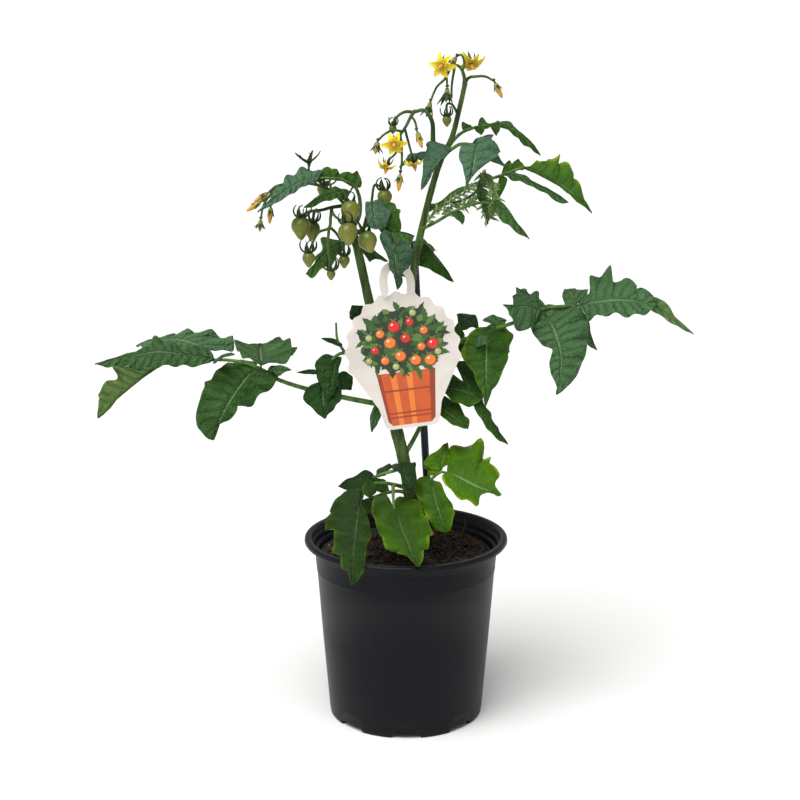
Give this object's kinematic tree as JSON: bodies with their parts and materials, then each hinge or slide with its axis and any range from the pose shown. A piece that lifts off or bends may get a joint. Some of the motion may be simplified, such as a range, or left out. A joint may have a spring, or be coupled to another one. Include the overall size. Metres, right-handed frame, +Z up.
{
  "type": "tomato plant in a pot",
  "caption": "Young tomato plant with lobed leaves, green fruits and yellow flowers, growing from soil in a round black nursery pot, with a support stick and a hooked card label.",
  "frame": {"origin": "middle of the pot's underside, on the surface that it stands on", "axes": "+Z up along the pot's axis, +X to the right and +Y away, as seen from the label's side"},
  "size_m": [0.4053, 0.1835, 0.4639],
  "materials": {
    "pot": "satin",
    "soil": "matte",
    "stake": "satin",
    "stem": "matte",
    "tag": "satin",
    "leaf": "matte",
    "truss": "matte",
    "fruit": "gloss",
    "bloom": "matte"
  },
  "bodies": {
    "root": {"pot": "pot", "soil": "soil", "stake": "stake", "stem": "stem", "tag": "tag", "leaf_front_left": "leaf", "leaf_front_right": "leaf", "leaf_low_dark": "leaf", "leaf_low_back": "leaf", "leaf_left_big": "leaf", "leaf_left_small": "leaf", "leaf_right_big": "leaf", "leaf_right_low": "leaf", "leaf_back": "leaf", "leaf_top_left": "leaf", "leaf_centre": "leaf", "leaf_hook": "leaf", "leaf_back_left": "leaf", "leaf_back_right": "leaf", "leaf_upper_front": "leaf", "leaf_top_right": "leaf", "leaf_upper_right": "leaf", "leaf_inner_right": "leaf", "truss_fruit": "truss", "fruit_1": "fruit", "fruit_2": "fruit", "fruit_3": "fruit", "fruit_4": "fruit", "fruit_6": "fruit", "fruit_7": "fruit", "fruit_8": "fruit", "truss_fruit_side": "truss", "fruit_5": "fruit", "truss_fruit_high": "truss", "fruit_10": "fruit", "truss_left_buds": "truss", "bloom_left_1": "bloom", "bloom_left_2": "bloom", "bloom_left_3": "bloom", "fruit_9": "fruit", "truss_middle": "truss", "fruit_12": "fruit", "bloom_star": "bloom", "bloom_middle_left": "bloom", "bloom_middle_low": "bloom", "bloom_middle_right": "bloom", "bloom_middle_side": "bloom", "truss_top": "truss", "bloom_top_side": "bloom", "bloom_top_left": "bloom", "bloom_top_right": "bloom", "truss_hanging": "truss", "fruit_11": "fruit", "truss_young": "truss"}
  },
  "joints": []
}
